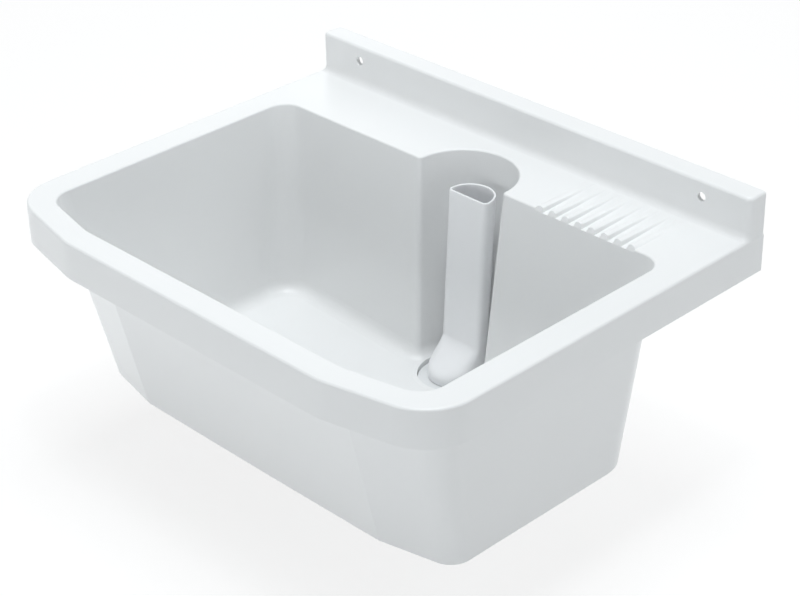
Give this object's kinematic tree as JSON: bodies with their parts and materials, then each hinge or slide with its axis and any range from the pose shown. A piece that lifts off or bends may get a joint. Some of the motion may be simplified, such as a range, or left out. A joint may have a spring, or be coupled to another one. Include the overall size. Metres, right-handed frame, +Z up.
{
  "type": "utility laundry sink",
  "caption": "Wall-hung plastic utility sink with a deep tapered bowl, ribbed washboard deck, low wall upstand and a lift-out overflow standpipe over the drain.",
  "frame": {"origin": "on the wall plane behind the sink, on its centre line, level with the top of the rim", "axes": "+X along the wall to the washboard's side, +Y into the wall, +Z up"},
  "size_m": [0.6, 0.48, 0.344],
  "materials": {
    "basin_plastic": "white moulded polypropylene, satin",
    "standpipe_plastic": "cool white moulded plastic, satin",
    "drain_plastic": "white moulded plastic, satin",
    "nut_plastic": "white moulded plastic, matt",
    "gasket_rubber": "grey moulded rubber, matt",
    "seal_rubber": "black moulded rubber, matt"
  },
  "bodies": {
    "basin": {"sink_basin": "basin_plastic", "drain_body": "drain_plastic", "flange_gasket": "gasket_rubber", "lower_gasket": "gasket_rubber", "slip_washer": "drain_plastic", "lock_nut": "nut_plastic"},
    "standpipe": {"overflow_standpipe": "standpipe_plastic", "standpipe_seal": "seal_rubber"}
  },
  "joints": [
    {"name": "standpipe_lift", "type": "slide", "parent": "basin", "child": "standpipe", "axis": [0, 0, 1], "range_m": [0, 0.26]}
  ]
}
